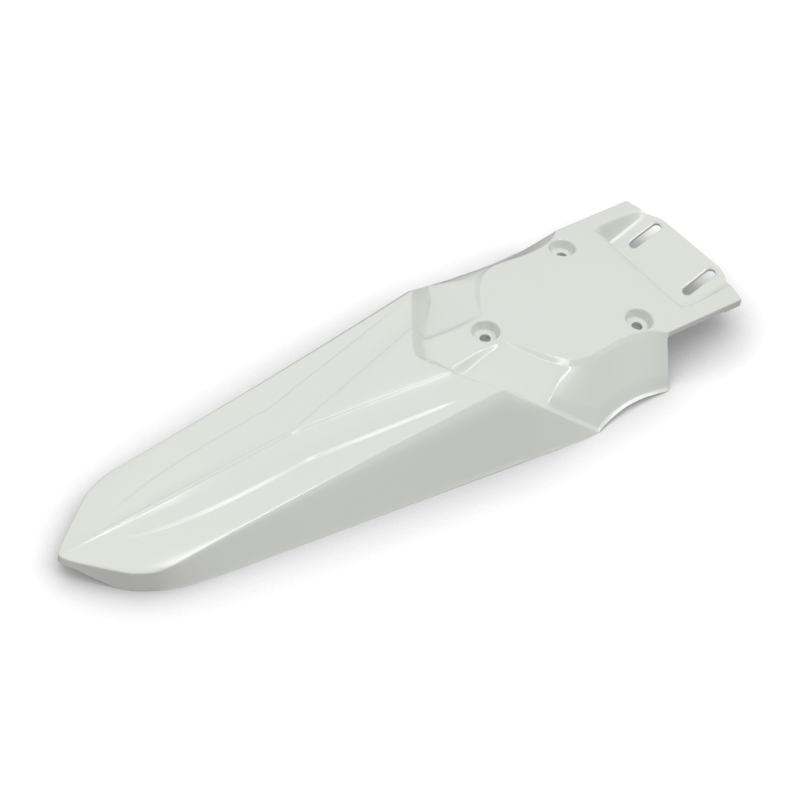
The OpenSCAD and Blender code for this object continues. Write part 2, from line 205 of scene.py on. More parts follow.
def eased(count):
    """Steps from 0 to 1 that crowd towards both ends, as half a cosine wave."""
    return (1 - np.cos(np.linspace(0, math.pi, count + 1))) / 2


def curve(points, t):
    """A smooth curve through points at t from 0 to 1, in cubic pieces.
    The slope at each point is the mean of the slopes beside it."""
    points = np.asarray(points, float)
    knots = np.concatenate([[0], np.cumsum(np.linalg.norm(np.diff(points, axis=0), axis=1))])
    slopes = np.gradient(points, knots, axis=0)
    where = np.asarray(t) * knots[-1]
    i = np.clip(np.searchsorted(knots, where, side="right") - 1, 0, len(knots) - 2)
    gap = knots[i + 1] - knots[i]
    w = ((where - knots[i]) / gap)[:, None]
    h = gap[:, None]
    return (
        (2 * w**3 - 3 * w**2 + 1) * points[i]
        + (w**3 - 2 * w**2 + w) * h * slopes[i]
        + (3 * w**2 - 2 * w**3) * points[i + 1]
        + (w**3 - w**2) * h * slopes[i + 1]
    )


TAIL_CORNER_HALF = TAIL_HALF - TAIL_ROUND


def tail_x(y):
    """The tail's edge in plan: a soft V that bends forward at its corners."""
    bend = np.maximum(0, y - TAIL_CORNER_HALF + TAIL_BEND)
    return TIP_X + soft_v(y, TIP_R) + TAIL_SWEEP / TAIL_BEND * bend**2


TAIL_CORNER_X = float(tail_x(np.array(TAIL_CORNER_HALF)))


def step_x(y):
    """The blade's front edge in plan, also a soft V."""
    return STEP_APEX_X + (STEP_SIDE_X - STEP_APEX_X) * soft_v(y, APEX_R) / soft_v(BLADE_HALF, APEX_R)


def edge_y(x):
    """Half width between the blade's top edges: a power curve, rounded at the tail corner."""
    near = 1 - ramp(x, TAIL_CORNER_X, TAIL_CORNER_X + TAIL_ROUND_LEN)
    flared = mix(TAIL_HALF, BLADE_HALF, ramp(x, TAIL_CORNER_X, STEP_SIDE_X) ** BLADE_FLARE)
    return flared - TAIL_ROUND * near**2


def edge_z(x):
    """Height of the blade's top edges: a straight line."""
    return mix(TAIL_H, STEP_H - EDGE_DROP, (x - TAIL_CORNER_X) / (STEP_SIDE_X - TAIL_CORNER_X))


def ridge_z(x):
    """Height of the centre line: two straight slopes that meet where the facet begins."""
    back = mix(TIP_H, SPLIT_H, (x - TIP_X) / (SPLIT_X - TIP_X))
    front = mix(SPLIT_H, STEP_H + APEX_RISE, (x - SPLIT_X) / (STEP_APEX_X - SPLIT_X))
    return np.where(x < SPLIT_X, back, front)


def facet_y(x):
    """Half width of the ridge, which opens into a triangular facet."""
    open_by = FACET_HALF * (x - SPLIT_X) / (float(step_x(np.array(FACET_HALF))) - SPLIT_X)
    return np.maximum(RIDGE_HALF, open_by)


def crest_y(x):
    """Half width to the crests outside the grooves: an exponential at the tail, then a straight line."""
    run = np.maximum(x - TIP_X - CREST_START, CREST_LEAST)
    back = CREST_HALF * (1 - np.exp(-run / CREST_RUN))
    return back + (BLADE_HALF * CREST_SHARE - CREST_HALF) * ramp(x, SPLIT_X, STEP_SIDE_X)


def groove_y(x):
    """Half width to the bottom of the grooves: a hyperbola from one straight line into another."""
    run = x - GROOVE_BEND_X
    ahead = (run + np.sqrt(run**2 + GROOVE_BEND_R**2)) / 2
    return np.minimum(VALLEY_HALF + GROOVE_SLOPE * ahead, mix(facet_y(x), crest_y(x), 0.6))


def panel_z(x, y):
    """A straight line across from the facet's side to the blade's edge."""
    a = facet_y(x)
    return mix(ridge_z(x) - FACET_CROWN * a, edge_z(x), np.clip((y - a) / (edge_y(x) - a), 0, 1))


def rail_y(rail, x):
    """Half width of a rail of the blade."""
    if rail <= DECK_EDGE:
        return facet_y(x) * SHARES[rail]
    crest = crest_y(x)
    return {
        LEDGE: np.minimum(facet_y(x) + LEDGE_OUT, mix(facet_y(x), groove_y(x), 0.3)),
        GROOVE: groove_y(x),
        CREST: crest,
        BEAD: np.minimum(crest + TERRACE_OUT, mix(crest, edge_y(x), 0.4)),
        EDGE: edge_y(x),
    }[rail]


def top_z(rail, x, y):
    """Height of a rail of the blade. The facet is crowned as a parabola and the groove is sunk."""
    if rail <= DECK_EDGE:
        return ridge_z(x) - FACET_CROWN * y * y / facet_y(x)
    if rail == LEDGE:
        return panel_z(x, y) - LEDGE_DROP * ramp(x, *LEDGE_GROWS)
    if rail == GROOVE:
        return panel_z(x, y) - GROOVE_DEPTH * ramp(x, *GROOVE_GROWS)
    if rail == CREST:
        return panel_z(x, y) + 0.3 * TERRACE_DROP * terrace(x)
    if rail == BEAD:
        return panel_z(x, y) - 0.7 * TERRACE_DROP * terrace(x)
    return panel_z(x, y)


def terrace(x):
    """Share of the small terrace outside the crests: it starts behind the tip and fades near the step."""
    return ramp(x, *TERRACE_GROWS) * (1 - ramp(x, *TERRACE_FADES))


def rim_y(x):
    """Half width of the lower rim: a straight line that closes in exponentially at the tail."""
    t = (x - TAIL_CORNER_X) / (WING_X - TAIL_CORNER_X)
    straight = np.minimum(WING_HALF, mix(TAIL_HALF + RIM_OUT, WING_HALF + 1, t))
    return straight - RIM_CLOSING * np.exp((TAIL_CORNER_X - x) / RIM_CLOSING_LEN)


def deck_z(x, y):
    """Height of the deck: a gentle rise along the spine, then a fall to the front, crowned across."""
    middle = DECK_H + SPINE_SLOPE * np.minimum(x, 0) - DECK_FALL * np.maximum(x, 0) / CORNER_X
    return middle - y * y / (2 * DECK_CROWN_R)


def facet_z(x, y):
    """Height of the rear facet of the wing, a plane."""
    return FACET_LEVEL + FACET_RISE * x - FACET_FALL * y


def lip(x):
    """The lip where wing and skirt meet: a straight line in space down to the widest corner."""
    t = (x - STEP_SIDE_X) / (WING_X - STEP_SIDE_X)
    return np.stack([x, mix(BLADE_HALF, WING_HALF, t), mix(STEP_H - EDGE_DROP, 0, t)], -1)


def wing_rim(t):
    """Lower edge of the wing from its widest corner forward: arched, and waisted in plan."""
    return np.stack(
        [
            mix(WING_X, WING_FRONT_X, t),
            mix(WING_HALF, WING_FRONT_HALF, t) - WING_WAIST * np.sin(math.pi * t**0.85),
            WING_ARCH * np.sin(math.pi * t),
        ],
        -1,
    )


def shoulder(top, bottom, share):
    """The shoulder below an edge: out and down from it, always above the rim."""
    share = np.asarray(share)[:, None] * np.minimum(1, (top[:, 2:] - bottom[:, 2:]) / 12)
    below = top + share * (0, SHOULDER_OUT, -SHOULDER_DROP)
    return np.where(share > 0.02, below, mix(top, bottom, 0.2))


def foot(x):
    """Points of the lower rim under the skirt."""
    return np.stack([x, rim_y(x), 0 * x], -1)


def blade_rows(s):
    """Rails of the blade. Each row blends from the tail's V to the step's V in plan."""
    rows = np.empty((len(s), RIM + 1, 3))
    x0 = mix(TIP_X, STEP_APEX_X, s)
    for rail in range(EDGE + 1):
        y = np.full_like(s, TAIL_HALF)
        # Each depends on the other, so both are worked out in rounds
        for _ in range(16):
            x = x0 + mix(tail_x(y) - TIP_X, step_x(y) - STEP_APEX_X, s)
            y = rail_y(rail, x)
        rows[:, rail] = np.stack([x, y, top_z(rail, x, y)], -1)
    rows[:, RIM] = foot(rows[:, EDGE, 0] - mix(1.5, 0, s))
    out = shoulder(rows[:, EDGE], rows[:, RIM], mix(0.12, 1.0, ramp(s, 0.05, 1.0)))
    rows[:, SHOULDER] = mix(mix(rows[:, EDGE], rows[:, RIM], 0.12), out, ramp(s, 0, 0.06)[:, None])
    return rows


def deck_rows(centre_x, edge):
    """Rails of the deck from its centre line to its edge, laid on the deck's surface."""
    rows = np.empty((len(edge), RIM + 1, 3))
    for rail in range(DECK_EDGE + 1):
        y = edge[:, 1] * SHARES[rail]
        x = mix(centre_x, edge[:, 0], SHARES[rail] ** 0.8)
        rows[:, rail] = np.stack([x, y, deck_z(x, y)], -1)
    return rows


def wing_rows(centre_x, edge, side, outer, rim, bead=0.0):
    """Deck rails, then the foot of the deck's rounded edge, the wing's middle, its lip and the rim.
    The wing's lip can have a bead along it, which is sunk by bead."""
    rows = deck_rows(centre_x, edge)
    rows[:, GROOVE] = side
    rows[:, LEDGE] = mix(rows[:, DECK_EDGE], side, 0.24)
    rows[:, CREST] = mix(side, outer, 0.7)
    rows[:, EDGE] = outer
    rows[:, BEAD] = beaded(rows[:, CREST], outer, bead)
    rows[:, RIM] = rim
    rows[:, SHOULDER] = shoulder(outer, rim, np.full(len(edge), 0.12))
    return rows


def beaded(inner, outer, depth):
    """The inner line of a bead along outer: a fixed width up the face, and sunk into it by depth."""
    up = unit(inner - outer)
    if len(outer) < 2:
        return outer + BEAD_WIDTH * up
    along = np.gradient(outer, axis=0)
    along = along / np.maximum(np.linalg.norm(along, axis=1), 1e-6)[:, None]
    out = np.cross(along, up)
    slant = np.maximum(np.linalg.norm(out, axis=1), 0.4)[:, None]
    out = out / slant * np.sign(out[:, 1:2])
    return outer + BEAD_WIDTH / slant * up - np.asarray(depth).reshape(-1, 1) * out


# Outlines in plan: the spine, the deck's edge up to the widest corner, and from there to the flange.
# The crease between the wing's facets meets the deck's edge at a share CREASE_T of the way.
SPINE_CURVE = ((-36.5, SPINE_HALF + 3.2), (-19.5, SPINE_HALF + 0.7), (5, SPINE_HALF))
RAMP_CREST = (-7.5, 45.6)
DECK_CURVE = ((5, SPINE_HALF), (13.7, 24.5), (21.2, 34.5), (30, 42.3), (39, 45.4), (50.6, 44.9))
FRONT_CURVE = ((50.6, 44.9), (65, 43.6), (78, 44.8), (89.8, 49.3), (FLANGE_X - 0.3, 53.8))
CREASE_T = 0.635


def ramp_row():
    """The row at the foot of the step, from the spine out to the lip."""
    side_x, side_y = SPINE_CURVE[0][0] + 5.5, SPINE_CURVE[0][1] + 4.5
    side = np.array([[side_x, side_y, facet_z(side_x, side_y)]])
    end = np.array([RAMP_LIP_X])
    rows = wing_rows(np.array([RAMP_X]), np.array(SPINE_CURVE[:1]), side, lip(end), foot(end))
    crest_x, crest_half = RAMP_CREST
    rows[0, CREST] = (crest_x, crest_half, facet_z(crest_x, crest_half))
    return rows


def spine_rows(t):
    """Rear facet beside the spine, from the foot of the step to the neck."""
    edge = curve(SPINE_CURVE, t)
    side_x = edge[:, 0] + mix(5.5, 1.5, t)
    side_y = edge[:, 1] + mix(4.3, 3.4, t)
    side = np.stack([side_x, side_y, facet_z(side_x, side_y)], -1)
    outer = lip(mix(RAMP_LIP_X, NECK_LIP_X, t))
    return wing_rows(mix(RAMP_X, NECK_X, t), edge, side, outer, foot(outer[:, 0]))


def beside(edge, out, drop, aim):
    """The foot of the deck's rounded edge: out from it in plan towards aim, and lower by drop."""
    plan = edge + unit(aim[:, :2] - edge) * np.asarray(out)[:, None]
    return np.column_stack([plan, deck_z(edge[:, 0], edge[:, 1]) - drop])


def neck_rows(t):
    """Rear facet from the neck to the crease that parts it from the front facet."""
    edge = curve(DECK_CURVE, t * CREASE_T)
    outer = lip(mix(NECK_LIP_X, CREASE_X, t))
    side = beside(edge, mix(3.0, 4.0, t**3), mix(0.8, 2.5, t), outer)
    side[:, 2] = mix(facet_z(side[:, 0], side[:, 1]), side[:, 2], t**6)
    bead = BEAD_DEPTH * BEAD_START * t
    return wing_rows(mix(NECK_X, CREASE_ROW_X, t), edge, side, outer, foot(outer[:, 0]), bead)


def front_rows(t):
    """Front facet from the crease to the widest corner, where the skirt ends."""
    edge = curve(DECK_CURVE, mix(CREASE_T, 1, t))
    outer = lip(mix(CREASE_X, WING_X, t))
    side = beside(edge, np.full(len(t), 4.0), np.full(len(t), 2.5), outer)
    rim = foot(outer[:, 0])
    rim[-1] = outer[-1]
    bead = BEAD_DEPTH * mix(BEAD_START, 1.0, np.minimum(1, 4 * t))
    return wing_rows(mix(CREASE_ROW_X, CORNER_ROW_X, t), edge, side, outer, rim, bead)


def rim_rows(t):
    """Front facet over the arched rim, to the wing's front edge."""
    edge = curve(FRONT_CURVE, t)
    outer = wing_rim(t)
    side = beside(edge, mix(4.0, 2.2, t**2), mix(2.5, 3.1, t**2), outer)
    return wing_rows(mix(CORNER_ROW_X, FLANGE_X, t), edge, side, outer, outer, BEAD_DEPTH)


def front_x(y):
    """Front edge in plan: straight, then a parabola round the tongue's corner, then the flange."""
    tongue = mix(FRONT_X, NOTCH_X + 0.5, ramp(y, FRONT_STRAIGHT_HALF, TONGUE_HALF) ** 2)
    flange = mix(NOTCH_X, CORNER_X, ramp(y, RECESS_HALF, FLANGE_HALF))
    return np.where(y < TONGUE_HALF + 0.1, tongue, flange)


def tongue_z(x):
    """The tongue's floor: down from the fold to the valley, then a straight rise."""
    down = mix(deck_z(FOLD_X, 0.0), VALLEY_H, ramp(x, FOLD_X, VALLEY_X))
    up = mix(VALLEY_H, TONGUE_H, (x - VALLEY_X) / (FRONT_X - VALLEY_X))
    return np.where(x < VALLEY_X, down, up)


def flange_rows(t, part):
    """Flange and tongue in three parts: up to the fold, down to the valley, out to the front."""
    start = FLANGE_X + 1.5
    rows = np.empty((len(t), RIM + 1, 3))
    for rail in range(RIM + 1):
        share = SHARES[min(rail, DECK_EDGE)]
        y = np.full_like(t, FLANGE_HALF * share)
        ends = {"deck": (start, FOLD_X), "fold": (FOLD_X, VALLEY_X), "tongue": (VALLEY_X, front_x(y))}[part]
        x = mix(ends[0], ends[1], t)
        if rail >= DECK_EDGE:
            y = y - 1 + ramp(x, FLANGE_X, CORNER_X)
        z = deck_z(x, y)
        if part != "deck" and rail <= TONGUE_EDGE:
            z = tongue_z(x)
        if rail > DECK_EDGE:
            y = y + 0.4
            tab_x = CORNER_X - CORNER_TAB_LEN
            z = z - FLANGE_LIP - CORNER_TAB * ramp(x, tab_x, tab_x + 1)
        rows[:, rail] = np.stack([x, y, z], -1)
    rows[:, LEDGE] = mix(rows[:, DECK_EDGE], rows[:, GROOVE], 0.5)
    return rows


def tail_lip(edge, rim, fractions):
    """The lip round the tail, from the edge above it down: a cosine-squared curve from the tip's short lip
    to the full height at the corners. It leans out by its draft along the plan's normal."""
    turn = math.radians(TIP_TURN) * ramp(edge[:, 1], 0, 2 * TIP_R)
    bent = ramp(edge[:, 1], TAIL_CORNER_HALF - TAIL_BEND, TAIL_CORNER_HALF)
    turn = turn + math.radians(CORNER_TURN) * bent
    drop = np.sin(math.pi / 2 * ramp(edge[:, 1], 2, 0.8 * TAIL_CORNER_HALF)) ** 2
    draft = mix(TIP_DRAFT, CORNER_DRAFT, drop)
    low = (TIP_H - TIP_LIP) * (1 - drop)
    bottom = np.column_stack([edge[:, 0] - draft * np.cos(turn), edge[:, 1] + draft * np.sin(turn), low])
    bottom[-1] = rim
    return mix(bottom, edge, fractions[:, None, None])


class Sheet:
    """The outer face of the moulding on a grid: rows from tail to front, columns from right to left."""

    def __init__(self):
        parts = [
            ("blade", blade_rows(self.spread(BLADE_STEPS))),
            ("ramp", self.between(blade_rows(np.array([1.0])), ramp_row(), RAMP_STEPS)),
            ("spine", spine_rows(eased(SPINE_STEPS)[1:])),
            ("neck", neck_rows(eased(NECK_STEPS)[1:])),
            ("front", front_rows(eased(FACET_STEPS)[1:])),
            ("rim", rim_rows(np.linspace(0, 1, ARCH_STEPS + 1)[1:])),
            ("flange", flange_rows(eased(FLANGE_STEPS), "deck")),
            ("fold", flange_rows(eased(FOLD_STEPS)[1:], "fold")),
            ("tongue", flange_rows(eased(TONGUE_STEPS)[1:], "tongue")),
        ]
        half, self.rail_at = self.spread_columns(np.concatenate([rows for name, rows in parts]))
        edge, tongue_edge = self.rail_at[EDGE], self.rail_at[TONGUE_EDGE]
        self.settle(half[: BLADE_STEPS + 1, : edge + 1], half[-TONGUE_STEPS:, : tongue_edge + 1])
        corner = half[0, edge:]
        up = np.linalg.norm(corner - corner[-1], axis=1)[::-1] / np.linalg.norm(corner[0] - corner[-1])
        lip_rows = tail_lip(half[0, : edge + 1], half[0, -1], up[:-1])
        lip_rows[:, -1] = corner[:0:-1]
        beside = np.repeat(lip_rows[:, -1:], half.shape[1] - edge - 1, axis=1)
        half = np.concatenate([np.concatenate([lip_rows, beside], axis=1), half])
        self.first = {}
        count = len(lip_rows)
        for name, rows in parts:
            self.first[name] = count
            count += len(rows)
        self.half_count = half.shape[1] - 1
        mirrored = half[:, :0:-1] * (1, -1, 1)
        self.points = np.concatenate([mirrored, half], axis=1)
        self.cells = self.filled_cells()

    @classmethod
    def settle(cls, blade, tongue):
        """Lays the columns between the rails exactly on the blade's plan and on the tongue's floor."""
        share = cls.spread(BLADE_STEPS)[:, None]
        centre = mix(TIP_X, STEP_APEX_X, share)
        y = blade[..., 1]
        blade[..., 0] = centre + mix(tail_x(y) - TIP_X, step_x(y) - STEP_APEX_X, share)
        tongue[..., 0] = mix(VALLEY_X, front_x(tongue[..., 1]), eased(TONGUE_STEPS)[1:, None])
        tongue[..., 2] = tongue_z(tongue[..., 0])

    @staticmethod
    def spread(count):
        """Even steps along the blade that crowd towards both of its ends."""
        even = np.linspace(0, 1, count + 1)
        return mix(even, eased(count), 0.75)

    @staticmethod
    def between(a, b, count):
        """Rows that blend straight from a to b, without a itself."""
        return mix(a, b, eased(count)[1:, None, None])

    @staticmethod
    def spread_columns(rails):
        """Columns laid straight between the rails, crowded towards each rail."""
        columns = [rails[:, :1]]
        rail_at = [0]
        for rail, steps in enumerate(COLUMN_STEPS):
            t = eased(steps)[1:, None]
            columns.append(mix(rails[:, rail : rail + 1], rails[:, rail + 1 : rail + 2], t))
            rail_at.append(rail_at[-1] + steps)
        return np.concatenate(columns, axis=1), rail_at

    def filled_cells(self):
        """Cells that hold material: no skirt beside the tail's lip, no wing ahead of its front edge."""
        rows, columns = self.points.shape[:2]
        filled = np.ones((rows - 1, columns - 1), bool)
        out = np.abs(np.arange(columns - 1) + 0.5 - self.half_count)
        filled[: self.first["blade"], out > self.rail_at[EDGE]] = False
        filled[self.first["flange"] - 1 :, out > self.rail_at[GROOVE]] = False
        return filled


def softened(sheet, spread_rows, spread_columns, steps=320):
    """Rounds the creases by letting the points spread like heat along rows and columns, each over
    about the distance given for it. Flat and straight stretches stay as they are."""
    p = sheet.points.copy()
    gap_rows = np.maximum(np.linalg.norm(np.diff(p, axis=0), axis=2), 1e-4)
    gap_columns = np.maximum(np.linalg.norm(np.diff(p, axis=1), axis=2), 1e-4)
    held_rows, held_columns = held_points(sheet)

    def weights(gap, spread, held):
        """How much of the way to its two neighbours each point goes in one step."""
        before, after = gap[:-1], gap[1:]
        steady = 0.2 * np.minimum(before, after) ** 2
        rate = np.minimum(spread[1:-1] ** 2 / 2 / steps, steady)
        rate = np.where(held[1:-1], 0, rate)
        low = 2 * rate / (before * (before + after))
        high = 2 * rate / (after * (before + after))
        return low[..., None], high[..., None]

    low_r, high_r = weights(gap_rows, spread_rows, held_rows)
    low_c, high_c = weights(gap_columns.T, spread_columns.T, held_columns.T)
    for _ in range(steps):
        p[1:-1] += low_r * (p[:-2] - p[1:-1]) + high_r * (p[2:] - p[1:-1])
        q = p.swapaxes(0, 1)
        q[1:-1] += low_c * (q[:-2] - q[1:-1]) + high_c * (q[2:] - q[1:-1])
    return p


def spreads(sheet, scale):
    """How far each point spreads along rows and columns: little at crisp creases, more at soft ones."""
    rows, columns = sheet.points.shape[:2]
    out = np.abs(np.arange(columns) - sheet.half_count)
    x = sheet.points[..., 0]
    first = sheet.first
    across = np.full((rows, columns), 0.5)
    along = np.full((rows, columns), 0.5)

    def rail_zone(rail, reach_in, reach_out):
        """Columns from some way inside a rail to some way outside it."""
        return (out >= sheet.rail_at[rail] - reach_in) & (out <= sheet.rail_at[rail] + reach_out)

    blade = np.zeros(rows, bool)
    blade[first["blade"] : first["spine"]] = True
    wings = np.zeros(rows, bool)
    wings[first["spine"] : first["flange"]] = True
    tongue = np.zeros(rows, bool)
    tongue[first["flange"] :] = True

    def put(field, row_zone, column_zone, value):
        zone = row_zone[:, None] & column_zone[None, :]
        field[zone] = np.broadcast_to(value, field.shape)[zone] if np.ndim(value) else value

    put(across, blade, rail_zone(DECK_EDGE, 2, 2), 0.35)
    put(across, blade, rail_zone(LEDGE, 1, 1), 0.4)
    put(across, blade, rail_zone(GROOVE, 4, 5), 2.2)
    put(across, blade, rail_zone(CREST, 4, 3), 0.8)
    put(across, blade, rail_zone(BEAD, 2, 3), 0.8)
    grow = mix(0.8, 3.6, ramp(x, TAIL_CORNER_X + 20, STEP_SIDE_X) ** 1.4)
    grow = np.where(x > STEP_SIDE_X, mix(3.6, 1.0, ramp(x, STEP_SIDE_X, CREASE_X)), grow)
    put(across, blade, rail_zone(SHOULDER, 4, 8), grow)
    put(across, blade, rail_zone(EDGE, 4, 2), mix(0.8, 0.5, ramp(x, TAIL_CORNER_X, TAIL_CORNER_X + 40)))
    put(across, wings, rail_zone(EDGE, 2, 5), 0.7)
    put(across, wings, rail_zone(BEAD, 3, 2), 0.4)
    put(across, wings, rail_zone(DECK_EDGE, 3, 2), mix(2.4, 0.4, ramp(x, -36, 6)))
    put(across, wings, rail_zone(LEDGE, 1, 2), mix(2.4, 0.35, ramp(x, -36, 6)))
    put(across, wings, rail_zone(GROOVE, 3, 4), mix(2.4, 0.5, ramp(x, -25, 10)))
    put(across, tongue, rail_zone(TONGUE_EDGE, 5, 3), 2.8)
    put(across, tongue, rail_zone(RECESS_EDGE, 3, 4), 1.5)
    put(across, tongue, rail_zone(DECK_EDGE, 3, 5), 0.5)

    def put_rows(name, reach_back, reach_on, value, column_zone=None):
        start = first[name]
        zone = np.zeros(rows, bool)
        zone[max(0, start - reach_back) : start + reach_on + 1] = True
        put(along, zone, np.ones(columns, bool) if column_zone is None else column_zone, value)

    put_rows("blade", 5, 5, 0.8)
    put_rows("ramp", 6, 4, 0.9)
    put_rows("spine", 5, 5, 1.6)
    put_rows("neck", 4, 4, 0.6)
    put_rows("front", 6, 6, 0.6, out > sheet.rail_at[DECK_EDGE] + 1)
    put_rows("fold", 6, 6, 2.8)
    put_rows("tongue", 5, 6, 2.4)
    return along * scale, across * scale


def held_points(sheet):
    """Points that don't move along their column, and those that don't move along their row. A free edge
    moves only along itself, and the seam where the tail's lip meets the skirts stays."""
    rows, columns = sheet.points.shape[:2]
    out = np.abs(np.arange(columns) - sheet.half_count)
    wing = sheet.first["flange"] - 1
    down = np.zeros((rows, columns), bool)
    down[: sheet.first["blade"] + 1, out >= sheet.rail_at[EDGE]] = True
    across = down.copy()
    down[wing, out >= sheet.rail_at[GROOVE]] = True
    across[sheet.first["rim"] - 1 :, out >= sheet.rail_at[EDGE]] = True
    across[wing:, out >= sheet.rail_at[GROOVE]] = True
    return down, across


def joined(points):
    """Merges points that coincide. Gives the distinct points and each grid point's number among them."""
    flat = points.reshape(-1, 3)
    _, first, number = np.unique(np.round(flat, 3), axis=0, return_index=True, return_inverse=True)
    return flat[first], number.reshape(points.shape[:2])


def triangles(a, b, c):
    """Triangles from the numbers of their first, second and third corners."""
    return np.column_stack([a.ravel(), b.ravel(), c.ravel()])


def cell_triangles(number, filled):
    """Two triangles for each filled cell, facing outwards, without those that have shrunk to a line."""
    a, b = number[:-1, :-1], number[:-1, 1:]
    c, d = number[1:, 1:], number[1:, :-1]
    a, b, c, d = (corner[filled] for corner in (a, b, c, d))
    faces = np.concatenate([triangles(a, c, b), triangles(a, d, c)])
    whole = (faces[:, 0] != faces[:, 1]) & (faces[:, 1] != faces[:, 2]) & (faces[:, 0] != faces[:, 2])
    return faces[whole]


def point_normals(points, faces):
    """Mean of the normals of the faces round each point, weighted by their area."""
    a, b, c = (points[faces[:, k]] for k in range(3))
    normal = np.cross(b - a, c - a)
    total = np.zeros_like(points)
    for k in range(3):
        np.add.at(total, faces[:, k], normal)
    return total / np.maximum(np.linalg.norm(total, axis=1), 1e-12)[:, None]


def free_edges(faces):
    """Edges with a face on one side only, in the direction in which that face runs."""
    edges = np.concatenate([faces[:, [0, 1]], faces[:, [1, 2]], faces[:, [2, 0]]])
    keys = edges[:, 0].astype(np.int64) * (edges.max() + 1) + edges[:, 1]
    back = edges[:, 1].astype(np.int64) * (edges.max() + 1) + edges[:, 0]
    return edges[~np.isin(keys, back)]


def walled(outer, inner, faces, wall):
    """Closes outer and inner faces with a rounded rim: a flat edge with quarter-round corners."""
    radius = EDGE_ROUND * wall
    edges = free_edges(faces)
    rim = np.unique(edges)
    centre = outer[faces].mean(axis=1)
    away = np.zeros_like(outer)
    for k in range(3):
        np.add.at(away, faces[:, k], outer[faces[:, k]] - centre)
    across = unit(inner[rim] - outer[rim])
    place = np.full(len(outer), -1)
    place[rim] = np.arange(len(rim))
    a, b = place[edges[:, 0]], place[edges[:, 1]]
    tangent = away[rim]
    for _ in range(3):
        tangent = unit(tangent - (tangent * across).sum(1)[:, None] * across)
        beside = np.zeros_like(tangent)
        np.add.at(beside, a, tangent[b])
        np.add.at(beside, b, tangent[a])
        tangent = tangent + beside / 2
    tangent = unit(tangent - (tangent * across).sum(1)[:, None] * across)
    outer, inner = outer.copy(), inner.copy()
    outer[rim] -= tangent * radius
    inner[rim] -= tangent * radius
    angles = np.radians([30, 60, 90])
    steps = [(radius * (1 - math.cos(a)), radius * math.sin(a), 0) for a in angles]
    steps += [(radius * (1 - math.cos(a)), radius * math.sin(a), 1) for a in angles[::-1]]
    layers = []
    for inwards, up, far in steps:
        base = inner[rim] if far else outer[rim]
        layers.append(base + (-across if far else across) * inwards + tangent * up)
    count = len(outer)
    points = np.concatenate([outer, inner] + layers)
    chains = [2 * count + k * len(rim) + place[edges] for k in range(len(steps))]
    chains = [edges] + chains + [edges + count]
    strips = []
    for near, far in zip(chains[:-1], chains[1:]):
        a, b, a2, b2 = near[:, 0], near[:, 1], far[:, 0], far[:, 1]
        strips += [triangles(b, a, a2), triangles(b, a2, b2)]
    return points, np.concatenate([faces, faces[:, ::-1] + count] + strips)


def mesh_from(name, points, faces):
    """A mesh of triangles from arrays, given in millimetres from the rear screw hole."""
    mesh = bpy.data.meshes.new(name)
    mesh.vertices.add(len(points))
    mesh.vertices.foreach_set("co", ((points + (ORIGIN_X, 0, 0)) * MM).ravel())
    mesh.loops.add(faces.size)
    mesh.loops.foreach_set("vertex_index", faces.ravel().astype(np.int32))
    mesh.polygons.add(len(faces))
    mesh.polygons.foreach_set("loop_start", np.arange(0, faces.size, 3, dtype=np.int32))
    mesh.update(calc_edges=True)
    mesh.validate()
    return mesh


def placed(name, mesh):
    """Puts a mesh into the scene as an object at the origin."""
    piece = bpy.data.objects.new(name, mesh)
    bpy.context.scene.collection.objects.link(piece)
    return piece


def turned(outline, profile, place, tilt_x, tilt_y):
    """A solid from a profile of (distance out, height) carried round a flat outline, which gives points
    and outward directions in plan. The solid is tilted, then moved to its place."""
    plan, way = outline
    profile = np.asarray(profile, float)
    rings = plan[None] + way[None] * profile[:, :1, None]
    points = np.concatenate([rings, np.broadcast_to(profile[:, 1:, None], rings.shape[:2] + (1,))], axis=2)
    around = len(plan)
    number = np.arange(len(profile) * around).reshape(len(profile), around)
    here, ahead = number, np.roll(number, -1, axis=1)
    walls = [triangles(here[:-1], ahead[:-1], ahead[1:]), triangles(here[:-1], ahead[1:], here[1:])]
    flat = points.reshape(-1, 3)
    ends = np.stack([points[0].mean(0), points[-1].mean(0)])
    low, high = len(flat), len(flat) + 1
    caps = [
        triangles(ahead[0], here[0], np.full(around, low)),
        triangles(here[-1], ahead[-1], np.full(around, high)),
    ]
    flat = np.concatenate([flat, ends])
    turn = np.array(Euler((tilt_x, tilt_y, 0)).to_matrix())
    return flat @ turn.T + place, np.concatenate(walls + caps)


def round_outline(count=72):
    """A point in plan with directions all round it, so that a profile's distance is a radius."""
    a = np.linspace(0, 2 * math.pi, count, endpoint=False)
    way = np.column_stack([np.cos(a), np.sin(a)])
    return np.zeros_like(way), way


def slot_outline(run, count=72):
    """Two end points in plan, run apart along x, each with half of the directions round it."""
    plan, way = round_outline(count)
    plan[:, 0] = np.where(way[:, 0] >= 0, run / 2, -run / 2)
    return plan, way


def arc(centre, radius, start, end, count=6):
    """Points of an arc from one angle to another, in degrees."""
    a = np.radians(np.linspace(start, end, count + 1))
    return [(centre[0] + radius * math.cos(t), centre[1] + radius * math.sin(t)) for t in a]


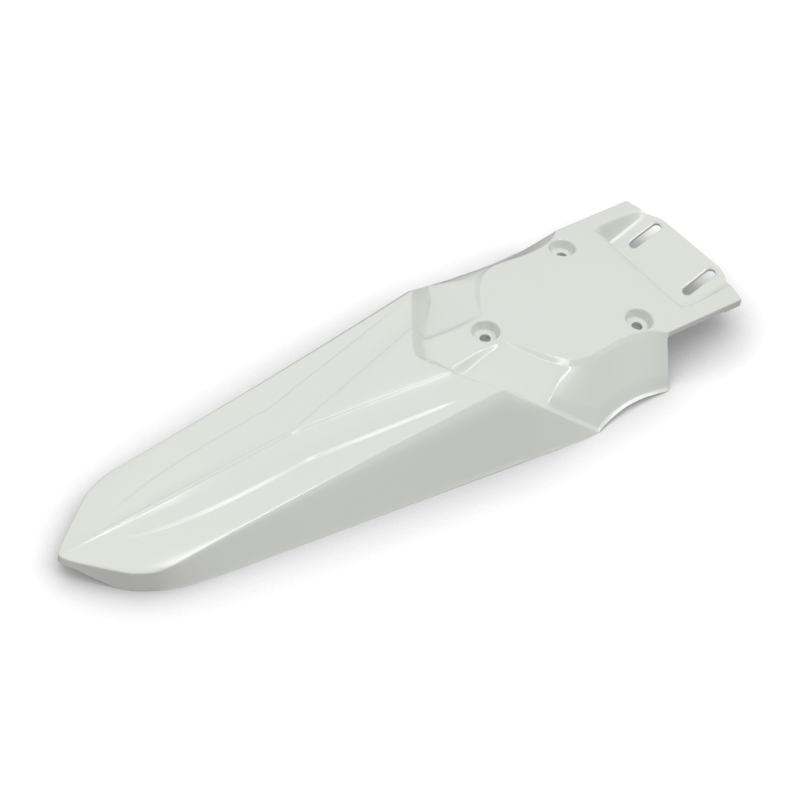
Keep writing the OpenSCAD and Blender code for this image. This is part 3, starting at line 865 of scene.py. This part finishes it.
def cup_profile(sizes):
    """Half section of what is cut out for a cup: hole, floor, corner, slanted wall and rounded brim."""
    depth = sizes.cup_depth / MM
    slant = 16
    corner, brim, hole_round, flare = 1.3, 1.8, 0.5, 2.6
    floor_r = sizes.cup_width / MM / 2 - flare
    foot_r = floor_r + corner * math.cos(math.radians(slant))
    brim_r = foot_r + math.tan(math.radians(slant)) * (depth - corner - brim) + brim
    profile = [(HOLE_R, -depth - 9)]
    profile += arc((HOLE_R + hole_round, -depth - hole_round), hole_round, 180, 90, 4)
    profile += arc((floor_r, -depth + corner), corner, -90, -slant)
    profile += arc((brim_r, -brim), brim, 180 - slant, 92, 8)
    profile += [(brim_r + 0.4, 0.08), (brim_r + 0.4, 6)]
    return profile


def boss_profile(sizes, wall):
    """Half section of a cup's outside, with a rounded lower edge."""
    around, rounding = 1.7, 1.0
    out_r = sizes.cup_width / MM / 2 + around
    low = -sizes.cup_depth / MM - wall
    corner = arc((out_r - rounding, low + rounding), rounding, -90, 0)
    return [(0.5, low)] + corner + [(out_r, -wall / 2)]


def slot_profile(half_width, wall):
    """Half section of what is cut out for a slot, with a small round on both faces."""
    brim = 0.7
    low = -wall
    profile = [(half_width + brim, low - 6), (half_width + brim, low - 0.03)]
    profile += arc((half_width + brim, low + brim), brim, -92, -180, 5)
    profile += arc((half_width + brim, -brim), brim, 180, 92, 5)
    profile += [(half_width + brim, 0.03), (half_width + brim, 6)]
    return profile


def combine(piece, tool_points, operation):
    """Adds a tool body to the piece, or takes it away, and keeps the result as the piece's mesh."""
    tool = placed("tool", mesh_from("tool", *tool_points))
    modifier = piece.modifiers.new("combine", "BOOLEAN")
    modifier.operation = operation
    modifier.solver = "MANIFOLD"
    modifier.object = tool
    result = bpy.data.meshes.new_from_object(piece.evaluated_get(bpy.context.evaluated_depsgraph_get()))
    piece.modifiers.clear()
    old = piece.data
    piece.data = result
    bpy.data.meshes.remove(old)
    bpy.data.objects.remove(tool)


def deck_tilt(x, y):
    """Tilt of the deck's surface at a place, about x and about y."""
    slope_x = -DECK_FALL / CORNER_X if x > 0 else 0.0
    return math.atan(-y / DECK_CROWN_R), math.atan(-slope_x)


def fender_solid(wall, softness):
    """Points and faces of the closed moulding, without cups and slots."""
    sheet = Sheet()
    outer, number = joined(softened(sheet, *spreads(sheet, softness)))
    faces = cell_triangles(number, sheet.cells)
    broad = np.full(sheet.points.shape[:2], CORE_SPREAD)
    broad[sheet.first["flange"] :] = TONGUE_CORE_SPREAD
    core = np.zeros_like(outer)
    core[number.ravel()] = softened(sheet, broad, broad).reshape(-1, 3)
    inner = inner_face(sheet, core, number, point_normals(core, faces), wall)
    return walled(outer, inner, faces, wall)


def inner_face(sheet, core, number, normals, wall):
    """The inner face: the softened outer face moved in by the wall, and level at the lower rim."""
    flat = normals * (1, 1, 0)
    size = np.maximum(np.linalg.norm(flat, axis=1), 0.3)[:, None]
    level = flat / size * np.minimum(1.3, 1 / size)
    level_height = 3.0
    near_rim = np.exp(-((core[:, 2:] / level_height) ** 2)) * (size > 0.35)
    tail = np.zeros(len(core))
    rows = sheet.first["blade"]
    strength = np.repeat(np.linspace(1, 0, rows)[:, None], number.shape[1], axis=1)
    tail[number[:rows].ravel()] = strength.ravel()
    share = np.maximum(near_rim[:, 0], tail)[:, None]
    return core - wall * mix(normals, level, share)


class FenderSizes(bpy.types.PropertyGroup):
    """Sizes of the moulding that a user would change."""

    wall: bpy.props.FloatProperty(
        name="Wall", description="Thickness of the moulded wall", default=2.6 * MM, min=0.001, unit="LENGTH"
    )
    cup_width: bpy.props.FloatProperty(
        name="Cup width", description="Width of each screw head's recess", default=17 * MM, unit="LENGTH"
    )
    cup_depth: bpy.props.FloatProperty(
        name="Cup depth", description="Depth of each screw head's recess", default=6.5 * MM, unit="LENGTH"
    )
    slot_width: bpy.props.FloatProperty(
        name="Slot width", description="Width of the tongue's slots", default=6.5 * MM, unit="LENGTH"
    )
    slot_length: bpy.props.FloatProperty(
        name="Slot length", description="Length of the tongue's slots", default=23.5 * MM, unit="LENGTH"
    )
    slot_spacing: bpy.props.FloatProperty(
        name="Slot spacing", description="Distance between the two slots", default=51.5 * MM, unit="LENGTH"
    )
    crease_softness: bpy.props.FloatProperty(
        name="Crease softness",
        description="Scale of the rounding of all creases",
        default=1.0,
        min=0.3,
        max=2.0,
    )


class FenderFinish(bpy.types.PropertyGroup):
    """Colour and gloss of the plastic, and the studio's levels."""

    plastic: bpy.props.FloatVectorProperty(
        name="Plastic",
        description="Colour of the moulded plastic",
        subtype="COLOR",
        size=3,
        default=(0.69, 0.712, 0.675),
    )
    roughness: bpy.props.FloatProperty(
        name="Roughness", description="Mean roughness of the surface", default=0.08, min=0.0, max=1.0
    )
    floor: bpy.props.FloatProperty(
        name="Floor", description="Brightness of the floor as the camera sees it", default=0.8
    )
    bounce: bpy.props.FloatVectorProperty(
        name="Bounce",
        description="Colour with which the floor lights the fender from below",
        subtype="COLOR",
        size=3,
        default=(0.32, 0.31, 0.32),
    )
    sky: bpy.props.FloatProperty(
        name="Sky", description="Brightness of the surrounding light", default=0.305
    )
    sky_middle: bpy.props.FloatProperty(
        name="Sky middle", description="Extra brightness of the broad patch of light overhead", default=0.72
    )
    sky_strip: bpy.props.FloatProperty(
        name="Sky strip", description="Extra brightness of the narrow strip of light overhead", default=6.0
    )
    sky_side: bpy.props.FloatProperty(
        name="Side strip", description="Extra brightness of the strip at the front right", default=1.6
    )


class Wire:
    """An output socket of a node, which can be used in sums and products."""

    def __init__(self, tree, socket):
        self.tree = tree
        self.socket = socket

    def beside(self, name):
        """Another output of the same node."""
        return Wire(self.tree, self.socket.node.outputs[name])

    def maths(self, operation, other, swapped=False):
        """A maths node with this socket and another value, or the other way round when swapped."""
        pair = (other, self) if swapped else (self, other)
        return self.tree.node("ShaderNodeMath", {"operation": operation}, dict(enumerate(pair)))

    def __add__(self, other):
        return self.maths("ADD", other)

    def __radd__(self, other):
        return self.maths("ADD", other, True)

    def __sub__(self, other):
        return self.maths("SUBTRACT", other)

    def __rsub__(self, other):
        return self.maths("SUBTRACT", other, True)

    def __mul__(self, other):
        return self.maths("MULTIPLY", other)

    def __rmul__(self, other):
        return self.maths("MULTIPLY", other, True)


class Tree:
    """The nodes of one material or of the sky."""

    def __init__(self, owner):
        self.owner = owner
        owner.use_nodes = True
        self.nodes = owner.node_tree.nodes
        self.links = owner.node_tree.links
        self.nodes.clear()

    def node(self, kind, settings=None, sockets=None, output=0):
        """Adds a node, sets it up, gives values or links to its sockets and returns one output."""
        node = self.nodes.new(kind)
        for key, value in (settings or {}).items():
            setattr(node, key, value)
        for key, value in (sockets or {}).items():
            if isinstance(value, Wire):
                self.links.new(value.socket, node.inputs[key])
            else:
                node.inputs[key].default_value = value
        return Wire(self, node.outputs[output]) if node.outputs else None

    def noise(self, place, scale, detail=2.0):
        """Even noise from 0 to 1 in the object's own coordinates."""
        return self.node("ShaderNodeTexNoise", {}, {"Vector": place, "Scale": scale, "Detail": detail})

    def blend(self, share, first, second):
        """A colour between two others."""
        return self.node("ShaderNodeMix", {"data_type": "RGBA"}, {0: share, 6: first, 7: second}, output=2)

    def along(self, place, way):
        """How far a direction points along another one: their dot product."""
        return self.node("ShaderNodeVectorMath", {"operation": "DOT_PRODUCT"}, {0: place, 1: way}, output=1)


# Scales of the plastic's noises per metre, the height of its waves and its grain in metres
CLOUD_SCALE, WAVE_SCALE, GRAIN_SCALE = 14.0, 60.0, 900.0
WAVE_HEIGHT, GRAIN_HEIGHT = 0.00004, 0.000004
WARMTH = (1.015, 1.0, 0.985)
GLOSS_SWING = 0.04
PLASTIC_IOR = 1.49


def moulded_plastic(finish):
    """Gloss plastic: an almost even colour, a faintly uneven gloss and a very fine moulded grain."""
    tree = Tree(bpy.data.materials.new("moulded_plastic"))
    place = tree.node("ShaderNodeTexCoord", output=3)
    cloud = tree.noise(place, CLOUD_SCALE)
    grain = tree.noise(place, GRAIN_SCALE, 3.0)
    wave = tree.noise(place, WAVE_SCALE, 1.0)
    warm = [part * factor for part, factor in zip(finish.plastic, WARMTH)]
    base = tree.blend(cloud, (*finish.plastic, 1.0), (*warm, 1.0))
    height = wave * WAVE_HEIGHT + grain * GRAIN_HEIGHT
    bump = tree.node("ShaderNodeBump", {}, {"Strength": 0.35, "Distance": 1.0, "Height": height})
    gloss = finish.roughness + (cloud - 0.5) * GLOSS_SWING
    sockets = {"Base Color": base, "Roughness": gloss, "IOR": PLASTIC_IOR, "Normal": bump}
    shader = tree.node("ShaderNodeBsdfPrincipled", {}, sockets)
    tree.node("ShaderNodeOutputMaterial", {}, {"Surface": shader})
    return tree.owner


# The painted shadow round the fender, a soft dark halo painted into the floor's colour: its reach in
# metres, the power of its fall, its colour
PAINTED_SHADOW_REACH = 0.045
PAINTED_SHADOW_POWER = 2.2
PAINTED_SHADOW_COLOUR = (0.0, 0.0, 0.02, 1.0)
FLOOR_GLOW = 0.25
WHITE = (1.0, 1.0, 1.0, 1.0)


def floor_material(finish):
    """A matt floor. The camera sees it white, with a painted shadow: a soft dark halo painted into its
    colour where the fender covers its open sky.
    To all other rays, and so to the fender's underside, it is a darker, even grey."""
    tree = Tree(bpy.data.materials.new("studio_floor"))
    dark = tree.node("ShaderNodeBsdfDiffuse", {}, {"Color": (*finish.bounce, 1.0)})
    open_sky = tree.node("ShaderNodeAmbientOcclusion", {"samples": 8}, {"Distance": PAINTED_SHADOW_REACH}, output=1)
    white = (finish.floor, finish.floor, finish.floor, 1.0)
    # Painted shadow: the floor's white darkens towards the shadow colour where the fender covers the
    # floor's open sky
    colour = tree.blend(open_sky.maths("POWER", PAINTED_SHADOW_POWER), PAINTED_SHADOW_COLOUR, white)
    matt = tree.node("ShaderNodeBsdfDiffuse", {}, {"Color": colour})
    glow = tree.node("ShaderNodeEmission", {}, {"Color": WHITE, "Strength": FLOOR_GLOW})
    both = tree.node("ShaderNodeAddShader", {}, {0: matt, 1: glow})
    direct = tree.node("ShaderNodeLightPath").beside("Is Camera Ray")
    shader = tree.node("ShaderNodeMixShader", {}, {0: direct, 1: dark, 2: both})
    tree.node("ShaderNodeOutputMaterial", {}, {"Surface": shader})
    return tree.owner


# The sky's broad bright part: the direction of its middle and the power of its fall
SKY_MIDDLE = (-0.45, 0.5, 0.75)
SKY_POWER = 2

# The strip overhead: its middle and half its size, both as x and y of a direction
STRIP_MIDDLE = (-0.03, -0.26)
STRIP_HALF = (0.075, 0.38)

# The side strip lies along a plane through the fender. It has a middle, half a length and half a width,
# and a narrow bright core off the plane.
SIDE_PLANE = (0.295, 0.908, 0.297)
SIDE_MIDDLE = 0.36
SIDE_HALF = (0.36, 0.13)
CORE_OFF = 0.09
CORE_HALF = 0.045
CORE_GAIN = 4.0


def fade(value, power):
    """Near 1 while the value is below 1 and near 0 beyond it: one over one plus an even power."""
    return ((value * value).maths("POWER", power / 2) + 1.0).maths("POWER", -1.0)


def soft_sky(finish):
    """All the light: an even sky with a broad, brighter part, the cosine of the angle from its middle to
    a power, and two soft-edged strips above the horizon. The camera sees plain white instead."""
    tree = Tree(bpy.data.worlds.new("sky"))
    seen = tree.node("ShaderNodeNewGeometry", output=4)
    near = tree.along(seen, tuple(-Vector(SKY_MIDDLE).normalized()))
    broad = near.maths("MAXIMUM", 0.0).maths("POWER", SKY_POWER)
    split = tree.node("ShaderNodeSeparateXYZ", {}, {0: seen})
    forward, left, up = (split.beside(axis) * -1.0 for axis in "XYZ")
    strip = fade((forward - STRIP_MIDDLE[0]) * (1 / STRIP_HALF[0]), 6)
    strip = strip * fade((left - STRIP_MIDDLE[1]) * (1 / STRIP_HALF[1]), 8)
    apart = tree.along(seen, tuple(Vector(SIDE_PLANE).normalized()))
    side = fade(apart * (1 / SIDE_HALF[1]), 6) + fade((apart + CORE_OFF) * (1 / CORE_HALF), 6) * CORE_GAIN
    side = side * fade((forward - SIDE_MIDDLE) * (1 / SIDE_HALF[0]), 4)
    strips = (strip * finish.sky_strip + side * finish.sky_side) * up.maths("GREATER_THAN", 0.0)
    level = broad * finish.sky_middle + strips + finish.sky
    direct = tree.node("ShaderNodeLightPath").beside("Is Camera Ray")
    level = level * (1.0 - direct) + direct
    glow = tree.node("ShaderNodeBackground", {}, {"Color": WHITE, "Strength": level})
    tree.node("ShaderNodeOutputWorld", {}, {"Surface": glow})
    return tree.owner


SHARP_ANGLE = 60


class FENDER_OT_shell(bpy.types.Operator):
    """Builds the moulded fender with its cups and slots over the frame's solid"""

    bl_idname = "fender.shell"
    bl_label = "Moulded Fender"

    def execute(self, context):
        sizes = context.scene.fender_sizes
        wall = sizes.wall / MM
        solid = fender_solid(wall, sizes.crease_softness)
        piece = placed("moulded_fender", mesh_from("moulded_fender", *solid))
        self.cups(piece, sizes, wall)
        self.slots(piece, sizes, wall)
        piece.data.shade_smooth()
        piece.data.set_sharp_from_angle(angle=math.radians(SHARP_ANGLE))
        piece.data.materials.clear()
        piece.data.materials.append(moulded_plastic(context.scene.fender_finish))
        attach(piece, "root")
        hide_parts("fender")
        return {"FINISHED"}

    @staticmethod
    def cups(piece, sizes, wall):
        """Hangs the three cups' walls under the deck, then cuts out their recesses and holes."""
        steps = (("UNION", boss_profile(sizes, wall)), ("DIFFERENCE", cup_profile(sizes)))
        for operation, profile in steps:
            for x, y in ((0.0, 0.0), (HOLE_PITCH, HOLE_SPACING / 2), (HOLE_PITCH, -HOLE_SPACING / 2)):
                place = (x, y, float(deck_z(x, y)))
                combine(piece, turned(round_outline(), profile, place, *deck_tilt(x, y)), operation)

    @staticmethod
    def slots(piece, sizes, wall):
        """Cuts the two slots square to the tongue's rising floor."""
        half_width = sizes.slot_width / MM / 2
        run = sizes.slot_length / MM - 2 * half_width
        x = FRONT_X - SLOT_INSET - half_width - run / 2
        slope = math.atan((TONGUE_H - VALLEY_H) / (FRONT_X - VALLEY_X))
        outline = slot_outline(run / math.cos(slope))
        for side in (-1, 1):
            place = (x, side * sizes.slot_spacing / MM / 2, float(tongue_z(np.array(x))))
            combine(piece, turned(outline, slot_profile(half_width, wall), place, 0, -slope), "DIFFERENCE")


# The floor's half size in metres, and the photo's viewpoint in millimetres from the rear screw hole
FLOOR_HALF = 40.0
IMAGE_PX = 800
CAMERA_PLACE = (-324.7, -377.0, 538.6)
CAMERA_AIM = (0.37757, 0.53682, -0.7545)
CAMERA_ROLL = math.radians(2.5)
CAMERA_FOCUS_PX = 1200
SENSOR_MM = 36


class FENDER_OT_stage(bpy.types.Operator):
    """Adds the floor, the sky and the camera"""

    bl_idname = "fender.stage"
    bl_label = "Studio"

    def execute(self, context):
        scene = context.scene
        finish = scene.fender_finish
        corners = [(x * FLOOR_HALF, y * FLOOR_HALF, 0) for x, y in ((-1, -1), (1, -1), (1, 1), (-1, 1))]
        mesh = bpy.data.meshes.new("studio_floor")
        mesh.from_pydata(corners, [], [(0, 1, 2, 3)])
        floor = placed("studio_floor", mesh)
        mesh.materials.append(floor_material(finish))
        scene.world = soft_sky(finish)
        scene.view_settings.view_transform = "Standard"
        self.camera(scene)
        return {"FINISHED"}

    @staticmethod
    def camera(scene):
        """Adds the camera at the photo's viewpoint."""
        data = bpy.data.cameras.new("camera")
        data.sensor_width = SENSOR_MM
        data.lens = CAMERA_FOCUS_PX / IMAGE_PX * SENSOR_MM
        data.clip_start = 0.01
        data.clip_end = 200
        camera = bpy.data.objects.new("camera", data)
        scene.collection.objects.link(camera)
        camera.location = (Vector(CAMERA_PLACE) + Vector((ORIGIN_X, 0, 0))) * MM
        turn = Vector(CAMERA_AIM).to_track_quat("-Z", "Y").to_matrix()
        turn = turn @ Matrix.Rotation(CAMERA_ROLL, 3, "Z")
        camera.rotation_euler = turn.to_euler()
        scene.camera = camera


class FENDER_PT_panel(bpy.types.Panel):
    """Lists the fender's sizes, its finish and the steps that build it"""

    bl_idname = "FENDER_PT_panel"
    bl_label = "Rear Fender"
    bl_space_type = "VIEW_3D"
    bl_region_type = "UI"
    bl_category = "Fender"

    def draw(self, context):
        layout = self.layout
        for group in (context.scene.fender_sizes, context.scene.fender_finish):
            box = layout.box()
            for name in group.bl_rna.properties.keys():
                if name not in ("rna_type", "name"):
                    box.prop(group, name)
        layout.operator(FENDER_OT_shell.bl_idname)
        layout.operator(FENDER_OT_stage.bl_idname)


CLASSES = (FenderSizes, FenderFinish, FENDER_OT_shell, FENDER_OT_stage, FENDER_PT_panel)


def register():
    for each in CLASSES:
        bpy.utils.register_class(each)
    bpy.types.Scene.fender_sizes = bpy.props.PointerProperty(type=FenderSizes)
    bpy.types.Scene.fender_finish = bpy.props.PointerProperty(type=FenderFinish)


def unregister():
    del bpy.types.Scene.fender_finish
    del bpy.types.Scene.fender_sizes
    for each in reversed(CLASSES):
        bpy.utils.unregister_class(each)


def main():
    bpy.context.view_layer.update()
    register()
    bpy.ops.fender.shell()
    bpy.ops.fender.stage()


if __name__ == "__main__":
    main()
